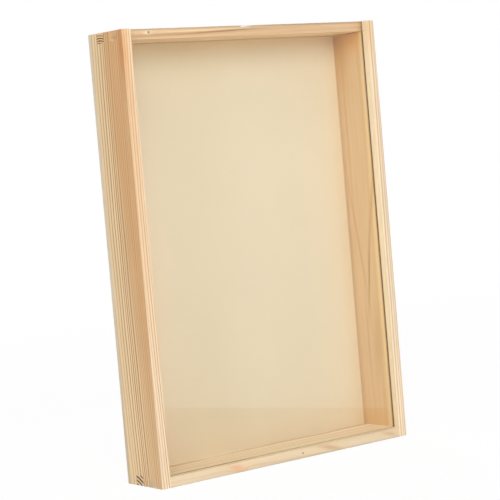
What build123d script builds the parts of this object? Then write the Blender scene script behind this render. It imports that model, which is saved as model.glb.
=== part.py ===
"""Butterfly display case: four finger-jointed pine boards, a plywood back and a clear lid that slides out
through the top. X runs across the case, Y from front to back and Z up; the origin is under its middle."""

import os

from build123d import *

# Driving sizes, in millimetres
case_width = 250.0  # outside, across
case_height = 350.0  # outside, upright
frame_depth = 44.0  # the four boards, front to back
board_thickness = 8.0
panel_thickness = 4.0  # plywood back, glued on behind the boards
lid_thickness = 2.0
lid_play = 0.4  # how much wider the groove is than the lid is thick
lid_side_clearance = 0.5  # from each upright edge of the lid to the floor of its groove
groove_depth = 4.0
lip_width = 6.0  # wood left in front of the groove
rear_finger_count = 4  # fingers behind the front one, in turn the rail's and the side's
arris = 0.6  # rounding of the outer edges
lid_arris = 0.25
scoop_width = 16.0  # thumb scoop in the top rail's front edge
scoop_drop = 2.5
scoop_length = 10.0

# Places that several pieces share
outer_x = case_width / 2
inner_x = outer_x - board_thickness
front_y = -(frame_depth + panel_thickness) / 2
panel_y = front_y + frame_depth
groove_width = lid_thickness + lid_play
groove_front_y = front_y + lip_width
groove_back_y = groove_front_y + groove_width
groove_floor_x = inner_x + groove_depth
groove_floor_z = board_thickness - groove_depth

# The front finger is the side's, as wide as the lip and the groove together.
# The lid's way out of the top stays clear, because the top rail starts behind it.
finger_width = (panel_y - groove_back_y) / rear_finger_count
rail_finger_ys = [groove_back_y + (place + 0.5) * finger_width for place in range(0, rear_finger_count, 2)]
corner_x = outer_x - board_thickness / 2
low_corner_z = board_thickness / 2
high_corner_z = case_height - board_thickness / 2


# Side boards: grooved along their whole length, with sockets at both ends for the rails' fingers
with BuildPart() as left_side:
    with BuildSketch():
        with Locations((-outer_x, front_y)):
            Rectangle(board_thickness, frame_depth, align=(Align.MIN, Align.MIN))
        with Locations((-inner_x, groove_front_y)):
            Rectangle(groove_depth, groove_width, align=(Align.MAX, Align.MIN), mode=Mode.SUBTRACT)
    extrude(amount=case_height)
    outer_edges = left_side.edges().filter_by_position(Axis.X, -outer_x, -outer_x)
    front_edges = left_side.edges().filter_by_position(Axis.Y, front_y, front_y)
    upright_arris = front_edges.filter_by(Axis.Z).sort_by(Axis.X)[:1]
    fillet(upright_arris + outer_edges.filter_by(Axis.Y) + front_edges.filter_by(Axis.X), arris)
    with Locations(*[(-corner_x, y, z) for y in rail_finger_ys for z in (low_corner_z, high_corner_z)]):
        Box(board_thickness, finger_width, board_thickness, mode=Mode.SUBTRACT)
left_side.part.label = "left_side"

with BuildPart() as right_side:
    mirror(left_side.part, about=Plane.YZ)
right_side.part.label = "right_side"


# Bottom rail: grooved along its upper face, with a finger at each corner place
with BuildPart() as bottom_rail:
    with BuildSketch(Plane.YZ):
        with Locations((front_y, 0)):
            Rectangle(frame_depth, board_thickness, align=(Align.MIN, Align.MIN))
        with Locations((groove_front_y, groove_floor_z)):
            Rectangle(groove_width, groove_depth, align=(Align.MIN, Align.MIN), mode=Mode.SUBTRACT)
    extrude(amount=inner_x, both=True)
    with Locations(*[(x, y, low_corner_z) for x in (-corner_x, corner_x) for y in rail_finger_ys]):
        Box(board_thickness, finger_width, board_thickness)
    under_edges = bottom_rail.edges().filter_by_position(Axis.Z, 0, 0)
    finger_tips = under_edges.filter_by(Axis.Y).group_by(Axis.X)
    fillet(under_edges.filter_by(Axis.X).sort_by(Axis.Y)[:1] + finger_tips[0] + finger_tips[-1], arris)
bottom_rail.part.label = "bottom_rail"


# Top rail: set back behind the groove, with a thumb scoop for starting the lid
scoop_radius = (scoop_width**2 / 4 + scoop_drop**2) / (2 * scoop_drop)
scoop_foot = Plane(
    origin=(0, groove_back_y, case_height - scoop_drop),
    x_dir=(1, 0, 0),
    z_dir=(0, scoop_length, scoop_drop),
)
with BuildPart() as top_rail:
    with BuildSketch(Plane.YZ):
        with Locations((groove_back_y, case_height)):
            Rectangle(panel_y - groove_back_y, board_thickness, align=(Align.MIN, Align.MAX))
    extrude(amount=inner_x, both=True)
    with Locations(*[(x, y, high_corner_z) for x in (-corner_x, corner_x) for y in rail_finger_ys]):
        Box(board_thickness, finger_width, board_thickness)
    upper_edges = top_rail.edges().filter_by_position(Axis.Z, case_height, case_height)
    finger_tips = upper_edges.filter_by(Axis.Y).group_by(Axis.X)
    fillet(finger_tips[0] + finger_tips[-1], arris)
    with BuildSketch(scoop_foot):
        with Locations((0, -scoop_radius)):
            Circle(scoop_radius)
    extrude(amount=2 * scoop_length, both=True, mode=Mode.SUBTRACT)
top_rail.part.label = "top_rail"


# Back panel: plywood over the whole back, its edges flush with the boards
with BuildPart() as back_panel:
    with BuildSketch(Plane.XZ.offset(-panel_y)):
        Rectangle(case_width, case_height, align=(Align.CENTER, Align.MIN))
    extrude(amount=-panel_thickness)
    fillet(back_panel.faces().sort_by(Axis.Y)[-1].edges(), arris)
back_panel.part.label = "back_panel"


# Sliding lid: clear sheet standing on the floor of the bottom groove, its top flush with the case
lid_width = 2 * (groove_floor_x - lid_side_clearance)
with BuildPart() as sliding_lid:
    with BuildSketch(Plane.XY.offset(groove_floor_z)):
        with Locations((0, (groove_front_y + groove_back_y) / 2)):
            Rectangle(lid_width, lid_thickness)
    extrude(amount=case_height - groove_floor_z)
    chamfer(sliding_lid.edges(), lid_arris)
sliding_lid.part.label = "sliding_lid"


os.makedirs("parts", exist_ok=True)
for piece in (left_side, right_side, top_rail, bottom_rail, back_panel, sliding_lid):
    export_step(piece.part, f"parts/{piece.part.label}.step")
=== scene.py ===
from math import pi
import bpy
from mathutils import Matrix, Vector


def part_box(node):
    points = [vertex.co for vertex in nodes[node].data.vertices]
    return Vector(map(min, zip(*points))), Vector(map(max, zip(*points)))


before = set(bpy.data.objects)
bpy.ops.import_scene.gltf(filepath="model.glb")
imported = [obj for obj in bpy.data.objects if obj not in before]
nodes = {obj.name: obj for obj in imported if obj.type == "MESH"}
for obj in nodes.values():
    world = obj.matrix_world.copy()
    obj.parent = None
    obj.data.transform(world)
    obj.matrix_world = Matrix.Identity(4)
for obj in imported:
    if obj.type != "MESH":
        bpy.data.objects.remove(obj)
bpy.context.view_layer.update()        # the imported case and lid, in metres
scene = bpy.context.scene
print("frame loaded:", ", ".join(sorted(nodes)))


# Faces of the case that the patterns keep to

sideLow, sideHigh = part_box("right_side")
lidLow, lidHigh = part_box("sliding_lid")
panelLow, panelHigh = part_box("back_panel")
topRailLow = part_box("top_rail")[0]
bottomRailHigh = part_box("bottom_rail")[1]
innerX = sideLow.x  # inner and outer face of the right board; the left one mirrors it
outerX = sideHigh.x
boardX = (innerX + outerX) / 2
frontY = sideLow.y  # front of the two side boards and the bottom rail
recessY = topRailLow.y  # front of the top rail, behind the lid
panelY = panelLow.y  # the plywood's face towards the inside
topZ = sideHigh.z
middleZ = topZ / 2
ceilingZ = topRailLow.z  # underside of the top rail
ledgeZ = bottomRailHigh.z  # upper face of the bottom rail


# Small helpers for building node trees

def feed(tree, socket, value):
    if isinstance(value, bpy.types.NodeSocket):
        tree.links.new(value, socket)
    elif hasattr(socket.default_value, "__len__") and len(socket.default_value) == 4 and len(value) == 3:
        socket.default_value = (*value, 1.0)
    else:
        socket.default_value = value


def addNode(tree, kind, inputs=None, **settings):
    node = tree.nodes.new("ShaderNode" + kind)
    for name, value in settings.items():
        setattr(node, name, value)
    for name, value in (inputs or {}).items():
        feed(tree, node.inputs[name], value)
    return node


def calc(tree, operation, *values):
    node = addNode(tree, "Math", operation=operation)
    for socket, value in zip(node.inputs, values):
        feed(tree, socket, value)
    return node.outputs[0]


def vectorCalc(tree, operation, *values):
    node = addNode(tree, "VectorMath", operation=operation)
    for socket, value in zip(node.inputs, values):
        feed(tree, socket, value)
    return node.outputs["Value" if operation in ("LENGTH", "DOT_PRODUCT") else "Vector"]


def scaled(tree, vector, factor):
    return addNode(tree, "VectorMath", {0: vector, "Scale": factor}, operation="SCALE").outputs["Vector"]


def ramp(tree, value, low, high, bottom=0.0, top=1.0):  # smooth step from low to high
    node = addNode(tree, "MapRange", interpolation_type="SMOOTHSTEP")
    settings = {"Value": value, "From Min": low, "From Max": high, "To Min": bottom, "To Max": top}
    for name, setting in settings.items():
        feed(tree, node.inputs[name], setting)
    return node.outputs["Result"]


def fadeOut(tree, square):  # bell curve over a squared distance: 1 at 0, fading to 0
    return calc(tree, "EXPONENT", calc(tree, "MULTIPLY", square, -1.0))


def blendColour(tree, factor, first, second):
    node = addNode(tree, "Mix", data_type="RGBA", blend_type="MIX", clamp_factor=True)
    feed(tree, node.inputs[0], factor)
    feed(tree, node.inputs[6], first)
    feed(tree, node.inputs[7], second)
    return node.outputs[2]


def noise(tree, vector, size, detail=2.0, roughness=0.5):  # size is one lump's reach along X, Y and Z
    stretched = vectorCalc(tree, "DIVIDE", vector, size)
    inputs = {"Vector": stretched, "Scale": 1.0, "Detail": detail, "Roughness": roughness}
    return addNode(tree, "TexNoise", inputs)


def pushedAbout(tree, point, size, reach):  # noise is 0 to 1, so its middle is a half
    push = noise(tree, point, size).outputs["Color"]
    push = scaled(tree, vectorCalc(tree, "SUBTRACT", push, (0.5, 0.5, 0.5)), 2 * reach)
    return vectorCalc(tree, "ADD", point, push)


def facingY(tree, place):  # 1 on the broad faces of the panel and the lid, 0 round their edges
    normal = addNode(tree, "SeparateXYZ", {0: place.outputs["Normal"]})
    return calc(tree, "ABSOLUTE", normal.outputs["Y"])


def fromScreen(colour):  # a colour as it reads on screen, made linear
    return tuple(c / 12.92 if c <= 0.04045 else ((c + 0.055) / 1.055) ** 2.4 for c in colour)


def newMaterial(name):
    material = bpy.data.materials.new(name)
    material.use_nodes = True
    material.node_tree.nodes.clear()
    return material, material.node_tree


def finishMaterial(tree, shader):
    output = addNode(tree, "OutputMaterial")
    tree.links.new(shader, output.inputs["Surface"])


def dress(nodeName, material):
    slots = nodes[nodeName].data.materials
    slots.clear()
    slots.append(material)


# Camera: a long lens, low and well to the left, rolled a few degrees

cameraSetup = {
    "at": (-0.84528, -1.12941, 0.25466),
    "right": (0.79639, -0.59871, -0.08547),
    "up": (0.10396, -0.00370, 0.99457),
    "lens": 125.888,  # mm
    "sensor": 36.0,  # mm across
    "nearest": 0.01,  # where its view starts
}


def makeCamera(setup):
    data = bpy.data.cameras.new("camera")
    data.lens = setup["lens"]
    data.sensor_width = setup["sensor"]
    data.sensor_fit = "HORIZONTAL"
    data.clip_start = setup["nearest"]
    camera = bpy.data.objects.new("camera", data)
    scene.collection.objects.link(camera)
    right = Vector(setup["right"]).normalized()
    back = right.cross(Vector(setup["up"])).normalized()
    up = back.cross(right)
    turn = Matrix((right, up, back)).transposed().to_4x4()
    camera.matrix_world = Matrix.Translation(setup["at"]) @ turn
    scene.camera = camera


makeCamera(cameraSetup)
scene.view_settings.view_transform = "Standard"
print("camera placed")


# Bare wood: the finish that pine and plywood share, and the stains, painted shade and painted light laid
# on both.
# A mark is a soft spot, with its place, its reach along X, Y and Z, its strength and its colour.

woodFinish = {
    "roughness": 0.58,
    "roughnessSwing": 0.05,  # fibres are this much rougher or smoother than that
    "fibreRange": (0.3, 0.7),  # from the roughest fibre to the smoothest
    "bumpStrength": 0.25,
    "bumpDepth": 0.0003,
    "specular": 0.35,
}


def markField(tree, point, mark):  # 1 at its middle, fading to 0 outside
    mapping = addNode(tree, "Mapping", {"Vector": point}, vector_type="TEXTURE")
    mapping.inputs["Location"].default_value = mark["at"]
    mapping.inputs["Rotation"].default_value = mark.get("turn", (0, 0, 0))
    mapping.inputs["Scale"].default_value = mark["size"]
    share = mapping.outputs["Vector"]
    return fadeOut(tree, vectorCalc(tree, "DOT_PRODUCT", share, share))


# blends in one mark: a real stain or tone, or painted shade or light
def stainOrPaintedLightOnce(tree, colour, field, mark):
    factor = calc(tree, "MULTIPLY", field, mark["markStrength"])
    return blendColour(tree, factor, colour, fromScreen(mark["colour"]))


def stainsAndPaintedLightAll(tree, colour, point, marks):
    for mark in marks:
        colour = stainOrPaintedLightOnce(tree, colour, markField(tree, point, mark), mark)
    return colour


def shadeWood(tree, colour, fibre, cloud, look):  # fine fibres and broad clouds, darker and lighter
    shade = calc(tree, "MULTIPLY_ADD", calc(tree, "SUBTRACT", fibre, 0.5), look["fibre"], 1.0)
    shade = calc(tree, "MULTIPLY_ADD", calc(tree, "SUBTRACT", cloud, 0.5), look["cloud"], shade)
    return scaled(tree, colour, shade)


def finishWood(tree, colour, fibre, relief, look):
    bump = addNode(tree, "Bump", {
        "Height": relief, "Strength": look["bumpStrength"], "Distance": look["bumpDepth"]})
    roughest = look["roughness"] + look["roughnessSwing"]
    smoothest = look["roughness"] - look["roughnessSwing"]
    shader = addNode(tree, "BsdfPrincipled", {
        "Base Color": colour,
        "Roughness": ramp(tree, fibre, *look["fibreRange"], roughest, smoothest),
        "Normal": bump.outputs["Normal"],
        "Specular IOR Level": look["specular"],
    })
    finishMaterial(tree, shader.outputs["BSDF"])


# Solid pine: rings round a pith line, so that long faces and end grain agree

pineLook = {
    **woodFinish,
    "heading": (0.0, 0.0, 1.0),  # the way the pith runs
    "ringWidth": 0.0019,  # at the bark side
    "barkAt": 0.090,
    "crowding": 1.0,  # 1 keeps all rings as wide as that, 2 gives each ring the same area
    "ringShift": 0.0,  # slides every ring outwards, as a share of one ring
    "unevenYears": 0.6,  # how far ring widths stray, as a share of one ring
    "unevenPace": 0.43,  # how soon a wide ring follows a narrow one
    "lateRise": (0.45, 0.85),  # where within a ring its late wood darkens
    "ringEnd": (1.00, 0.92),  # where it ends in a clean edge
    "yearTone": (0.75, 1.05),  # late wood of the faintest and the strongest year
    "boldAt": 0.0,  # radius of a run of years with strong late wood, and how far it reaches
    "boldReach": 0.004,
    "boldShare": 0.0,  # how much fainter the other years are
    "bend": (0.0, 0.0),  # how far the pith strays sideways over the bend length, more and more steeply
    "bendStart": 0.0,  # where along the pith it runs straight
    "bendLength": 0.200,
    "sap": (0.945, 0.835, 0.690),
    "heart": (0.895, 0.710, 0.505),
    "heartAt": (0.0, 0.0, 0.0),  # a point on the middle line of the heartwood, and the way that line runs
    "heartLine": (0.0, 0.0, 1.0),
    "heartEdge": (0.043, 0.048),  # how far from there it fades into sapwood
    "late": (0.690, 0.495, 0.300),
    "lateStrength": 0.62,
    "heartLate": 0.15,  # the same inside the heartwood
    "quiet": (-0.002, -0.001),  # rings smaller than this hardly show
    "quietShare": 0.08,  # how much of them does
    "endLate": (0.330, 0.190, 0.090),
    "endRise": (0.36, 0.62),  # where within a ring its late wood darkens on the end grain
    "endReach": (0.020, 0.026),  # dark rings on the end grain fade out from here
    "endShare": (0.05, 0.95),  # how strong they are outside and inside it
    "endTint": (0.96, 0.90, 0.82),  # end grain beside the long faces
    "endFacing": (0.55, 0.90),  # how squarely a face must cross the pith to be end grain
    "wander": 0.0006,  # how far rings stray
    "wanderSize": (0.012, 0.012, 0.070),  # reach of one stray along X, Y and Z
    "fibre": 0.20,  # how far fine fibres darken and lighten the wood
    "fibreSize": (0.0018, 0.0018, 0.060),
    "cloud": 0.10,  # the same for broad clouds
    "cloudSize": (0.010, 0.010, 0.080),
    "lateRelief": -0.06,  # late wood lies a little lower than the rest
    "tints": (),  # marks under the rings: tones of the wood, painted shade and painted light
    "marks": (),  # knots, streaks, stains, painted shade and painted highlights over them, some of which lift the rings
}


def alignToPith(tree, look, point):  # turns the board so that its pith lies on local Z
    turn = Vector(look["heading"]).normalized().rotation_difference(Vector((0, 0, 1)))
    mapping = addNode(tree, "Mapping", {"Vector": point}, vector_type="POINT")
    mapping.inputs["Rotation"].default_value = turn.to_euler("XYZ")
    mapping.inputs["Location"].default_value = -(turn @ Vector(look["pith"]))
    local = mapping.outputs["Vector"]
    height = addNode(tree, "SeparateXYZ", {0: local}).outputs["Z"]
    share = calc(tree, "DIVIDE", calc(tree, "SUBTRACT", look["bendStart"], height), look["bendLength"])
    bent = scaled(tree, (*look["bend"], 0.0), calc(tree, "MULTIPLY", share, share))
    return vectorCalc(tree, "SUBTRACT", local, bent), turn


def growRings(tree, radius, look):  # late wood on the long faces and on the end grain, from 0 to 1
    grown = calc(tree, "POWER", calc(tree, "DIVIDE", radius, look["barkAt"]), look["crowding"])
    ringCount = look["barkAt"] / (look["crowding"] * look["ringWidth"])
    phase = calc(tree, "MULTIPLY_ADD", grown, ringCount, look["ringShift"])
    pace = calc(tree, "MULTIPLY", phase, look["unevenPace"])
    uneven = addNode(tree, "TexNoise", {"W": pace, "Scale": 1.0, "Detail": 1.0}, noise_dimensions="1D")
    phase = calc(tree, "MULTIPLY_ADD", uneven.outputs["Fac"], look["unevenYears"], phase)
    year = addNode(tree, "TexWhiteNoise", {"W": calc(tree, "FLOOR", phase)}, noise_dimensions="1D")
    within = calc(tree, "FRACT", phase)
    ringEnd = ramp(tree, within, *look["ringEnd"])

    late = calc(tree, "MULTIPLY", ramp(tree, within, *look["lateRise"]), ringEnd)
    late = calc(tree, "MULTIPLY", late, ramp(tree, year.outputs["Value"], 0.0, 1.0, *look["yearTone"]))
    fromBold = calc(tree, "DIVIDE", calc(tree, "SUBTRACT", radius, look["boldAt"]), look["boldReach"])
    bold = fadeOut(tree, calc(tree, "MULTIPLY", fromBold, fromBold))
    bold = calc(tree, "MULTIPLY_ADD", bold, look["boldShare"], 1 - look["boldShare"])
    late = calc(tree, "MULTIPLY", late, bold)
    late = calc(tree, "MULTIPLY", late, ramp(tree, radius, *look["quiet"], look["quietShare"], 1.0))

    fadeStart, fadeEnd = look["endReach"]
    endLate = calc(tree, "MULTIPLY", ramp(tree, within, *look["endRise"]), ringEnd)
    endLate = calc(tree, "MULTIPLY", endLate, ramp(tree, radius, fadeEnd, fadeStart, *look["endShare"]))
    return late, endLate


def sapShare(tree, point, look):  # 0 inside the heartwood, 1 outside it
    offset = vectorCalc(tree, "SUBTRACT", point, look["heartAt"])
    offset = vectorCalc(tree, "CROSS_PRODUCT", offset, Vector(look["heartLine"]).normalized())
    return ramp(tree, vectorCalc(tree, "LENGTH", offset), *look["heartEdge"])


def makePine(name, changes):
    look = {**pineLook, **changes}
    material, tree = newMaterial(name)
    place = addNode(tree, "TexCoord")
    point = place.outputs["Object"]
    local, turn = alignToPith(tree, look, point)
    fields = [markField(tree, point, mark) for mark in look["marks"]]
    strayed = pushedAbout(tree, local, look["wanderSize"], look["wander"])
    radius = vectorCalc(tree, "LENGTH", vectorCalc(tree, "MULTIPLY", strayed, (1, 1, 0)))
    for field, mark in zip(fields, look["marks"]):
        if "lift" in mark:
            radius = calc(tree, "MULTIPLY_ADD", field, mark["lift"], radius)
    late, endLate = growRings(tree, radius, look)

    sap = sapShare(tree, point, look)
    ground = blendColour(tree, sap, fromScreen(look["heart"]), fromScreen(look["sap"]))
    ground = stainsAndPaintedLightAll(tree, ground, point, look["tints"])
    strength = ramp(tree, sap, 0.0, 1.0, look["heartLate"], look["lateStrength"])
    ringShare = calc(tree, "MULTIPLY", late, strength)
    sideColour = blendColour(tree, ringShare, ground, fromScreen(look["late"]))
    endGround = vectorCalc(tree, "MULTIPLY", ground, fromScreen(look["endTint"]))
    endColour = blendColour(tree, endLate, endGround, fromScreen(look["endLate"]))
    along = turn.inverted() @ Vector((0, 0, 1))
    facing = calc(tree, "ABSOLUTE", vectorCalc(tree, "DOT_PRODUCT", place.outputs["Normal"], along))
    colour = blendColour(tree, ramp(tree, facing, *look["endFacing"]), sideColour, endColour)

    fibre = noise(tree, local, look["fibreSize"], detail=4.0, roughness=0.6).outputs["Fac"]
    cloud = noise(tree, local, look["cloudSize"], detail=3.0).outputs["Fac"]
    colour = shadeWood(tree, colour, fibre, cloud, look)
    for field, mark in zip(fields, look["marks"]):
        colour = stainOrPaintedLightOnce(tree, colour, field, mark)
    relief = calc(tree, "MULTIPLY_ADD", late, look["lateRelief"], fibre)
    finishWood(tree, colour, fibre, relief, look)
    return material


leftSideLook = {
    "pith": (-0.200, 0.058, middleZ),
    "ringWidth": 0.00155,
    "barkAt": 0.114,
    "crowding": 1.7,
    "boldAt": 0.0925,
    "boldReach": 0.0060,
    "boldShare": 0.35,
    "bend": (0.0022, -0.0022),
    "bendStart": 0.045,
    "bendLength": 0.220,
    "sap": (0.995, 0.882, 0.700),
    "heart": (0.922, 0.741, 0.533),
    "heartAt": (-0.167, -0.022, middleZ),
    "heartLine": (0.022, 0.0, 1.0),
    "heartEdge": (0.0420, 0.0500),
    "late": (0.650, 0.400, 0.180),
    "lateStrength": 1.0,
    "heartLate": 0.65,
    "quiet": (0.0780, 0.0900),
    "tints": (
        {"at": (-boardX, frontY, middleZ), "size": (0.0100, 0.0010, 1.000),
         "markStrength": 1.0, "colour": (0.925, 0.815, 0.670)},
        {"at": (-outerX + 0.0020, frontY - 0.0005, 0.300), "size": (0.0070, 0.0014, 0.110),
         "markStrength": 0.9, "colour": (0.893, 0.745, 0.580)},
        {"at": (-innerX - 0.0002, frontY, 0.250), "size": (0.0016, 0.0010, 0.200),
         "markStrength": 0.7, "colour": (0.935, 0.845, 0.710)},
        # painted light: the lower front of the lip lighter, evening out light that falls off towards the
        # bottom
        {"at": (-boardX, frontY, 0.030), "size": (0.0100, 0.0010, 0.100),
         "markStrength": 0.7, "colour": (0.955, 0.875, 0.755)},
        {"at": (-outerX, frontY + 0.0025, topZ - 0.015), "size": (0.0030, 0.0040, 0.024),
         "markStrength": 0.85, "colour": (0.86, 0.61, 0.39)},
    ),
}

rightSideLook = {
    "pith": (0.057, 0.001, middleZ),
    "heading": (0.004, 0.0, 1.0),
    "ringWidth": 0.0021,
    "ringShift": 0.35,
    "sap": (0.940, 0.848, 0.715),
    "heart": (0.903, 0.768, 0.572),
    "heartAt": (0.080, 0.005, middleZ),
    "heartEdge": (0.0397, 0.0417),
    "late": (0.660, 0.440, 0.230),
    "lateStrength": 0.52,
    "quiet": (0.0645, 0.0655),
    "tints": (
        # painted shade: the outer front edge darker, as an edge turned away from the light
        {"at": (outerX - 0.0015, frontY, middleZ), "size": (0.0030, 0.0030, 1.000),
         "markStrength": 0.6, "colour": (0.875, 0.785, 0.670)},
        # painted shade: the inner face darker in the corner beside the back panel
        {"at": (innerX, panelY - 0.0005, middleZ), "size": (0.004, 0.0028, 0.300),
         "markStrength": 0.60, "colour": (0.813, 0.649, 0.460)},
        # painted shade: warm shadow on the inner face under the top rail
        {"at": (innerX, 0.0040, ceilingZ), "size": (0.004, 0.0400, 0.015),
         "markStrength": 0.80, "colour": (0.895, 0.635, 0.190)},
        {"at": (innerX, 0.0150, ceilingZ - 0.007), "size": (0.004, 0.0130, 0.040),
         "markStrength": 0.70, "colour": (0.805, 0.600, 0.260)},
        {"at": (innerX, -0.0108, 0.275), "size": (0.004, 0.0018, 0.060),
         "markStrength": 0.60, "colour": (0.854, 0.706, 0.535)},
        # painted highlight: a bright strip on the inner face beside the groove
        {"at": (innerX, recessY + 0.0008, middleZ), "size": (0.004, 0.0024, 0.300),
         "markStrength": 0.90, "colour": (1.000, 0.872, 0.665)},
        # painted light: the lower front of the lip lighter, evening out light that falls off towards the
        # bottom
        {"at": (boardX, frontY, 0.050), "size": (0.0060, 0.0030, 0.110),
         "markStrength": 0.6, "colour": (0.965, 0.885, 0.765)},
    ),
    "marks": (
        {"at": (innerX - 0.0005, frontY + 0.0030, middleZ), "size": (0.0016, 0.0042, 1.0),
         "markStrength": 1.0, "colour": (1.00, 0.925, 0.785)},  # pale sapwood lip, lightened further by a painted highlight along the groove
        {"at": (innerX + 0.0020, lidHigh.y, middleZ), "size": (0.0010, 0.0011, 1.0),
         "markStrength": 0.95, "colour": (0.52, 0.31, 0.03)},  # painted shadow inside the groove
        # painted shadow along the lip's inner edge beside the lid
        {"at": (innerX, lidLow.y - 0.0002, middleZ), "size": (0.0006, 0.0004, 1.0),
         "markStrength": 0.90, "colour": (0.52, 0.31, 0.03)},
        {"at": (innerX, 0.0095, 0.170), "size": (0.004, 0.0011, 0.058), "turn": (-0.143, 0, 0),
         "markStrength": 0.50, "colour": (0.803, 0.590, 0.329)},  # V-shaped figure
        {"at": (innerX, -0.0020, 0.141), "size": (0.004, 0.0010, 0.030), "turn": (0.120, 0, 0),
         "markStrength": 0.90, "colour": (0.736, 0.513, 0.213)},
        {"at": (innerX, -0.0110, 0.194), "size": (0.004, 0.0016, 0.036), "turn": (0.190, 0, 0),
         "markStrength": 0.50, "colour": (0.813, 0.610, 0.348)},
        {"at": (innerX, 0.0120, 0.275), "size": (0.004, 0.0014, 0.080),
         "markStrength": 0.40, "colour": (0.803, 0.620, 0.368)},  # streaks above and below it
        {"at": (innerX, 0.0060, 0.080), "size": (0.004, 0.0010, 0.035),
         "markStrength": 0.40, "colour": (0.794, 0.600, 0.348)},
        {"at": (innerX, -0.0060, 0.080), "size": (0.004, 0.0050, 0.030), "turn": (0.05, 0, 0),
         "markStrength": 0.35, "colour": (0.803, 0.610, 0.339)},
        {"at": (innerX, -0.0040, ceilingZ), "size": (0.004, 0.0120, 0.0008),
         "markStrength": 0.70, "colour": (0.484, 0.310, 0.116)},  # dark seam with painted contact shade under the top rail
        {"at": (outerX + 0.0005, 0.0020, 0.130), "size": (0.0030, 0.0130, 0.200), "turn": (0.02, 0, 0),
         "lift": 0.0085, "markStrength": 0.20, "colour": (0.925, 0.810, 0.640)},  # nested arches outside
    ),
}

railMarkY = recessY + 0.0006  # just inside the top rail's front

topRailLook = {
    "pith": (0.0, 0.008, topZ - 0.022),
    "heading": (1.0, 0.0, 0.022),
    "ringWidth": 0.0018,
    "sap": (0.888, 0.724, 0.538),
    "heart": (0.985, 0.853, 0.645),
    "heartAt": (0.0, 0.010, topZ - 0.018),
    "heartLine": (1.0, 0.0, 0.0),
    "heartEdge": (0.020, 0.027),
    "lateStrength": 0.22,
    "heartLate": 0.2,
    "endLate": (0.340, 0.150, 0.030),
    "endReach": (0.021, 0.025),
    "endTint": (1.00, 0.980, 0.965),
    "tints": (
        {"at": (-0.085, railMarkY, topZ - 0.0020), "size": (0.050, 0.010, 0.0014),
         "markStrength": 0.9, "colour": (0.945, 0.790, 0.62)},
        {"at": (-0.078, railMarkY, topZ - 0.0047), "size": (0.055, 0.010, 0.0015), "turn": (0, -0.010, 0),
         "markStrength": 0.95, "colour": (0.795, 0.622, 0.430)},
        {"at": (0.060, railMarkY, topZ - 0.0022), "size": (0.060, 0.010, 0.0006),
         "markStrength": 0.4, "colour": (0.96, 0.82, 0.66)},
        # painted light: the underside lighter, as if lit by light bounced from the back panel
        {"at": (0.0, 0.0050, ceilingZ), "size": (0.300, 0.0150, 0.0020),
         "markStrength": 0.5, "colour": (0.970, 0.840, 0.630)},
        # painted shade: warmer, darker underside towards the right-hand corner
        {"at": (0.080, 0.0170, ceilingZ), "size": (0.080, 0.0100, 0.003),
         "markStrength": 0.5, "colour": (0.930, 0.740, 0.470)},
    ),
    "marks": (
        {"at": (-0.045, railMarkY, topZ - 0.0024), "size": (0.060, 0.010, 0.0006), "turn": (0, -0.018, 0),
         "markStrength": 0.85, "colour": (1.00, 0.88, 0.70)},  # a pale line under the top edge, a dark streak and a thin dark line along the front
        {"at": (-0.022, railMarkY, topZ - 0.0036), "size": (0.038, 0.010, 0.00045), "turn": (0, -0.032, 0),
         "markStrength": 1.0, "colour": (0.62, 0.37, 0.12)},
        {"at": (0.065, railMarkY, topZ - 0.0008), "size": (0.050, 0.010, 0.0004),
         "markStrength": 0.50, "colour": (0.62, 0.42, 0.24)},
        {"at": (-0.0962, railMarkY, topZ - 0.0027), "size": (0.0034, 0.010, 0.0014),
         "markStrength": 0.90, "colour": (1.0, 0.93, 0.76)},  # small knot in a pale patch
        {"at": (-0.0952, railMarkY, topZ - 0.0026), "size": (0.0011, 0.010, 0.0008),
         "markStrength": 1.0, "colour": (0.40, 0.18, 0.02)},
    ),
}

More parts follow.
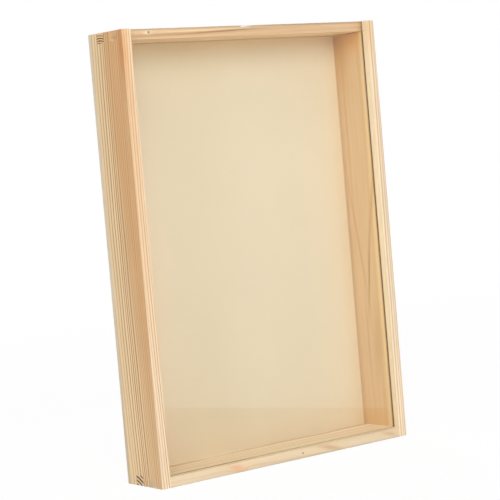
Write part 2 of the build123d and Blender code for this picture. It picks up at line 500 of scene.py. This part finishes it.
bottomRailLook = {
    "pith": (0.0, 0.0165, -0.0135),
    "heading": (1.0, 0.008, 0.0),
    "ringWidth": 0.0028,
    "sap": (0.905, 0.822, 0.692),
    "heart": (0.990, 0.922, 0.800),
    "heartAt": (0.0, 0.019, -0.012),
    "heartLine": (1.0, 0.0, 0.0),
    "heartEdge": (0.0405, 0.0425),
    "heartLate": 0.55,
    "lateStrength": 0.15,
    "endLate": (0.340, 0.150, 0.030),
    "endReach": (0.0255, 0.0300),
    "endTint": (1.00, 0.965, 0.91),
    "tints": (
        # painted light: the upper face lighter near the back panel, lifting the shade there
        {"at": (0.040, 0.0170, ledgeZ), "size": (0.120, 0.0060, 0.004),
         "markStrength": 0.50, "colour": (1.00, 0.94, 0.84)},
        # painted shade: the lower front edge darker, as an edge facing down
        {"at": (0.0, frontY, 0.0), "size": (0.300, 0.0040, 0.0015),
         "markStrength": 0.90, "colour": (0.81, 0.745, 0.655)},
        {"at": (-outerX, -0.0110, ledgeZ / 2), "size": (0.0040, 0.0060, 0.0080),
         "markStrength": 0.80, "colour": (0.875, 0.790, 0.655)},
    ),
    "marks": (
        {"at": (-0.053, frontY, 0.0035), "size": (0.008, 0.004, 0.0030), "turn": (0, 0.25, 0),
         "lift": 0.0012, "markStrength": 0.65, "colour": (0.90, 0.67, 0.48)},  # slanting patches on the front
        {"at": (0.043, frontY, 0.0035), "size": (0.013, 0.004, 0.0018), "turn": (0, 0.25, 0),
         "lift": 0.0012, "markStrength": 0.60, "colour": (0.78, 0.60, 0.40)},
        {"at": (0.107, frontY, 0.0040), "size": (0.009, 0.004, 0.0018), "turn": (0, 0.30, 0),
         "lift": 0.0012, "markStrength": 0.50, "colour": (0.80, 0.65, 0.46)},
        {"at": (0.0126, frontY, 0.0043), "size": (0.0007, 0.003, 0.0007),
         "markStrength": 1.0, "colour": (0.36, 0.22, 0.10)},  # small knot
        {"at": (-0.060, 0.0110, ledgeZ), "size": (0.080, 0.0013, 0.004),
         "markStrength": 0.35, "colour": (0.76, 0.61, 0.42)},  # streaks on the upper face
        {"at": (-0.080, -0.0055, ledgeZ), "size": (0.050, 0.0012, 0.004),
         "markStrength": 0.30, "colour": (0.76, 0.61, 0.42)},
        {"at": (0.060, -0.0060, ledgeZ), "size": (0.060, 0.0015, 0.004),
         "markStrength": 0.20, "colour": (0.80, 0.64, 0.45)},
        {"at": (0.0, lidHigh.y - 0.0003, ledgeZ - 0.0004), "size": (1.0, 0.0006, 0.0008),
         "markStrength": 0.95, "colour": (0.50, 0.28, 0.03)},  # painted shadow in the groove
    ),
}

dress("left_side", makePine("leftSidePine", leftSideLook))
dress("right_side", makePine("rightSidePine", rightSideLook))
dress("top_rail", makePine("topRailPine", topRailLook))
dress("bottom_rail", makePine("bottomRailPine", bottomRailLook))
print("boards dressed in pine")


# Plywood back: pale veneer, with its plies showing round the edge

plywoodLook = {
    **woodFinish,
    "roughness": 0.55,
    "bumpStrength": 0.20,
    "bumpDepth": 0.0002,
    "veneer": (0.918, 0.854, 0.732),
    "figure": (0.905, 0.820, 0.670),
    "frontFigure": 0.10,  # how strongly the figure shows on either face
    "rearFigure": 0.75,
    "figureChange": (0.4, 0.6),  # where through the thickness one gives way to the other
    "bandCount": 9.0,  # figure lines to one lump of the noise they follow
    "bandSize": (0.020, 0.020, 0.400),
    "bandRise": (0.20, 0.85),  # where within a band its line darkens, and where it ends
    "bandEnd": (1.00, 0.90),
    "drift": 0.010,  # how far the lines stray
    "driftSize": (0.060, 0.060, 0.200),
    "fibre": 0.04,
    "fibreSize": (0.0008, 0.0008, 0.020),
    "cloud": 0.06,
    "cloudSize": (0.050, 0.050, 0.090),
    "edge": (0.940, 0.865, 0.745),
    "core": (0.925, 0.865, 0.785),
    "facePly": 0.30,  # share of the thickness taken by each face veneer
    "plyBlur": 0.03,
    "edgeFacing": (0.7, 0.3),  # how far a face turns from the panel's own before it shows plies
    "seamShade": (0.720, 0.530, 0.300),  # dark joint line and painted contact shade where it meets the boards
    "seamShadeWidth": 0.0014,
    "seamShadeStrength": 0.60,
    "seamShadeDepth": 0.02,  # only this share of the thickness has it
    "tints": (
        {"at": (-0.040, panelY, middleZ), "size": (0.032, 0.010, 0.500),
         "markStrength": 0.43, "colour": (0.880, 0.805, 0.670)},
        {"at": (-0.055, panelY, 0.080), "size": (0.030, 0.010, 0.080),
         "markStrength": 0.15, "colour": (0.900, 0.815, 0.650)},
        # painted light: a lighter strip near the left board, filling in its cast shadow
        {"at": (-0.090, panelY, 0.120), "size": (0.017, 0.002, 0.200),
         "markStrength": 0.55, "colour": (1.000, 0.905, 0.765)},
        # painted shade: warm shadow across the top of the panel under the top rail
        {"at": (-0.020, panelY, ceilingZ), "size": (0.130, 0.010, 0.022),
         "markStrength": 0.45, "colour": (0.890, 0.790, 0.600)},
        {"at": (0.0, panelY, ceilingZ), "size": (0.300, 0.002, 0.008),
         "markStrength": 0.50, "colour": (0.960, 0.800, 0.520)},
        # painted light: yellow light bounced from the right board onto the panel beside it
        {"at": (innerX, panelY, middleZ), "size": (0.0085, 0.002, 0.500),
         "markStrength": 0.36, "colour": (0.880, 0.760, 0.540)},
    ),
    "edgeTints": (
        {"at": (-outerX, panelY + 0.002, 0.015), "size": (0.004, 0.004, 0.085),
         "markStrength": 0.90, "colour": (0.850, 0.765, 0.645)},
    ),
}


def veneerLines(tree, point, look):  # 0 between the figure's lines, 1 on them
    moved = pushedAbout(tree, point, look["driftSize"], look["drift"])
    bands = noise(tree, moved, look["bandSize"]).outputs["Fac"]
    within = calc(tree, "FRACT", calc(tree, "MULTIPLY", bands, look["bandCount"]))
    bandEnd = ramp(tree, within, *look["bandEnd"])
    return calc(tree, "MULTIPLY", ramp(tree, within, *look["bandRise"]), bandEnd)


def veneerFace(tree, point, position, depth, look):
    figureShare = ramp(tree, depth, *look["figureChange"], look["frontFigure"], look["rearFigure"])
    figured = calc(tree, "MULTIPLY", veneerLines(tree, point, look), figureShare)
    face = blendColour(tree, figured, fromScreen(look["veneer"]), fromScreen(look["figure"]))
    face = stainsAndPaintedLightAll(tree, face, point, look["tints"])
    # painted contact shade with a dark joint line, only beside the side boards and under the top rail
    toSide = calc(tree, "SUBTRACT", innerX, calc(tree, "ABSOLUTE", position.outputs["X"]))
    toRail = calc(tree, "SUBTRACT", ceilingZ, position.outputs["Z"])
    toBoard = calc(tree, "MINIMUM", toSide, toRail)
    seamShade = ramp(tree, toBoard, look["seamShadeWidth"], 0.0, 0.0, look["seamShadeStrength"])
    seamShade = calc(tree, "MULTIPLY", seamShade, calc(tree, "LESS_THAN", depth, look["seamShadeDepth"]))
    return blendColour(tree, seamShade, face, fromScreen(look["seamShade"]))


def plyEdge(tree, point, depth, look):
    fromMiddle = calc(tree, "ABSOLUTE", calc(tree, "SUBTRACT", depth, 0.5))
    coreEnd = 0.5 - look["facePly"]
    inCore = ramp(tree, fromMiddle, coreEnd + look["plyBlur"], coreEnd - look["plyBlur"])
    edge = blendColour(tree, inCore, fromScreen(look["edge"]), fromScreen(look["core"]))
    return stainsAndPaintedLightAll(tree, edge, point, look["edgeTints"])


def makePlywood(look):
    material, tree = newMaterial("plywood")
    place = addNode(tree, "TexCoord")
    point = place.outputs["Object"]
    position = addNode(tree, "SeparateXYZ", {0: point})
    fromFront = calc(tree, "SUBTRACT", position.outputs["Y"], panelY)
    depth = calc(tree, "DIVIDE", fromFront, panelHigh.y - panelY)  # as a share of the thickness
    facing = facingY(tree, place)
    face = veneerFace(tree, point, position, depth, look)
    edge = plyEdge(tree, point, depth, look)
    colour = blendColour(tree, ramp(tree, facing, *look["edgeFacing"]), face, edge)
    fibre = noise(tree, point, look["fibreSize"], detail=3.0, roughness=0.6).outputs["Fac"]
    cloud = noise(tree, point, look["cloudSize"], detail=3.0).outputs["Fac"]
    finishWood(tree, shadeWood(tree, colour, fibre, cloud, look), fibre, fibre, look)
    return material


dress("back_panel", makePlywood(plywoodLook))
print("back dressed in plywood")


# Clear lid: an acrylic sheet that mirrors a little of the room and lets the rest through

lidLook = {
    "tint": (0.985, 0.990, 0.985),
    "index": 1.49,
    "mirror": (1.0, 1.0, 1.0),
    "mirrorRoughness": 0.02,
    "edgeTint": (0.78, 0.86, 0.83),
    "edgeRoughness": 0.25,
    "edgeClear": 0.6,  # how much of the light the sawn edge lets in
    "edgeFacing": (0.8, 0.6),  # how far a face turns from the sheet's own before it is edge
}


def makeAcrylic(look):
    material, tree = newMaterial("clearAcrylic")
    facing = facingY(tree, addNode(tree, "TexCoord"))
    onEdge = ramp(tree, facing, *look["edgeFacing"])
    through = addNode(tree, "BsdfTransparent", {"Color": look["tint"]})
    mirror = addNode(tree, "BsdfGlossy", {
        "Color": look["mirror"], "Roughness": look["mirrorRoughness"]})
    back = addNode(tree, "NewGeometry").outputs["Backfacing"]
    evenIndex = calc(tree, "MULTIPLY_ADD", back, 1 / look["index"] - look["index"], look["index"])
    share = addNode(tree, "Fresnel", {"IOR": evenIndex}).outputs["Fac"]  # the same from either side
    sheet = addNode(tree, "MixShader", {0: share, 1: through.outputs[0], 2: mirror.outputs[0]})
    cutEdge = addNode(tree, "BsdfPrincipled", {
        "Base Color": look["edgeTint"],
        "Roughness": look["edgeRoughness"],
        "IOR": look["index"],
        "Transmission Weight": look["edgeClear"],
    })
    shader = addNode(tree, "MixShader", {0: onEdge, 1: sheet.outputs[0], 2: cutEdge.outputs[0]})
    finishMaterial(tree, shader.outputs[0])
    return material


dress("sliding_lid", makeAcrylic(lidLook))
print("lid dressed in acrylic")


# Studio: white floor and room, one wide soft light in front, one above and a weak one behind

studio = {
    "white": (1.0, 1.0, 1.0),
    "ambient": 0.176,  # the room's light on the case; what the camera sees of it is 1
    "lookAt": (0.0, 0.0, 0.17),
    "lamps": {
        "frontLight": {"at": (-1.060, -1.857, 1.142), "size": (2.4, 1.3), "power": 43.5, "spread": pi},
        "topLight": {"at": (0.0, -0.711, 2.357), "size": (1.4, 1.4), "power": 15.5, "spread": pi},
        "rearLight": {"at": (1.000, 1.800, 0.750), "size": (1.2, 1.0), "power": 3.2, "spread": 0.80},
    },
}

floorSetup = {
    "reach": 4.0,
    "paper": (0.99, 0.99, 0.99),
    "plain": 0.95,  # share of plain white in what the camera sees of the floor near the case
    "plainFrom": (0.25, 1.60),  # from here outwards it rises to all of it
    "white": (1.0, 1.0, 1.0),
    "tableEdge": ((0.121, -0.354), (0.212, -0.146)),  # two points where the board under the case ends
    "tableBlur": 0.006,
    "tableTone": (0.66, 0.47, 0.42),  # shows only in the lid
}


def mirroredRay(tree, rays):  # 1 for what shows in a mirror or through glass, not for stray light
    bounced = calc(tree, "MAXIMUM", rays.outputs["Is Glossy Ray"], rays.outputs["Is Transmission Ray"])
    return calc(tree, "MULTIPLY", bounced, calc(tree, "LESS_THAN", rays.outputs["Diffuse Depth"], 0.5))


def makeWorld(setup):
    world = bpy.data.worlds.new("room")
    scene.world = world
    world.use_nodes = True
    tree = world.node_tree
    tree.nodes.clear()
    rays = addNode(tree, "LightPath")
    seen = calc(tree, "MAXIMUM", rays.outputs["Is Camera Ray"], mirroredRay(tree, rays))
    strength = calc(tree, "MULTIPLY_ADD", seen, 1.0 - setup["ambient"], setup["ambient"])
    backdrop = addNode(tree, "Background", {"Color": setup["white"], "Strength": strength})
    output = addNode(tree, "OutputWorld")
    tree.links.new(backdrop.outputs[0], output.inputs["Surface"])


def makeLamp(name, setup, target):
    data = bpy.data.lights.new(name, "AREA")
    data.shape = "RECTANGLE"
    data.size, data.size_y = setup["size"]
    data.energy = setup["power"]
    data.spread = setup["spread"]
    lamp = bpy.data.objects.new(name, data)
    scene.collection.objects.link(lamp)
    lamp.location = setup["at"]
    lamp.rotation_euler = (Vector(target) - lamp.location).to_track_quat("-Z", "Y").to_euler()
    lamp.visible_camera = False
    lamp.visible_glossy = False


def tableColour(tree, point, setup):  # the board's tone on one side of its edge line, white on the other
    (startX, startY), (endX, endY) = setup["tableEdge"]
    across = Vector((endY - startY, startX - endX, 0)).normalized()
    fromStart = vectorCalc(tree, "SUBTRACT", point, (startX, startY, 0))
    distance = vectorCalc(tree, "DOT_PRODUCT", fromStart, across)
    past = ramp(tree, distance, -setup["tableBlur"], setup["tableBlur"])
    return blendColour(tree, past, setup["tableTone"], setup["white"])


def makeFloor(setup):
    reach = setup["reach"]
    corners = [(-reach, -reach, 0), (reach, -reach, 0), (reach, reach, 0), (-reach, reach, 0)]
    mesh = bpy.data.meshes.new("floor")
    mesh.from_pydata(corners, [], [(0, 1, 2, 3)])
    floor = bpy.data.objects.new("floor", mesh)
    scene.collection.objects.link(floor)
    material, tree = newMaterial("whitePaper")
    point = addNode(tree, "NewGeometry").outputs["Position"]
    rays = addNode(tree, "LightPath")
    lit = addNode(tree, "BsdfDiffuse", {"Color": setup["paper"]})
    white = addNode(tree, "Emission", {"Color": setup["white"], "Strength": 1.0})
    share = ramp(tree, vectorCalc(tree, "LENGTH", point), *setup["plainFrom"], setup["plain"], 1.0)
    seen = addNode(tree, "MixShader", {0: share, 1: lit.outputs[0], 2: white.outputs[0]})
    mirrored = addNode(tree, "Emission", {"Color": tableColour(tree, point, setup), "Strength": 1.0})
    isSeen = rays.outputs["Is Camera Ray"]
    surface = addNode(tree, "MixShader", {0: isSeen, 1: lit.outputs[0], 2: seen.outputs[0]})
    isMirrored = mirroredRay(tree, rays)
    surface = addNode(tree, "MixShader", {0: isMirrored, 1: surface.outputs[0], 2: mirrored.outputs[0]})
    finishMaterial(tree, surface.outputs[0])
    mesh.materials.append(material)


makeWorld(studio)
for name, setup in studio["lamps"].items():
    makeLamp(name, setup, studio["lookAt"])
makeFloor(floorSetup)
print("studio lit")
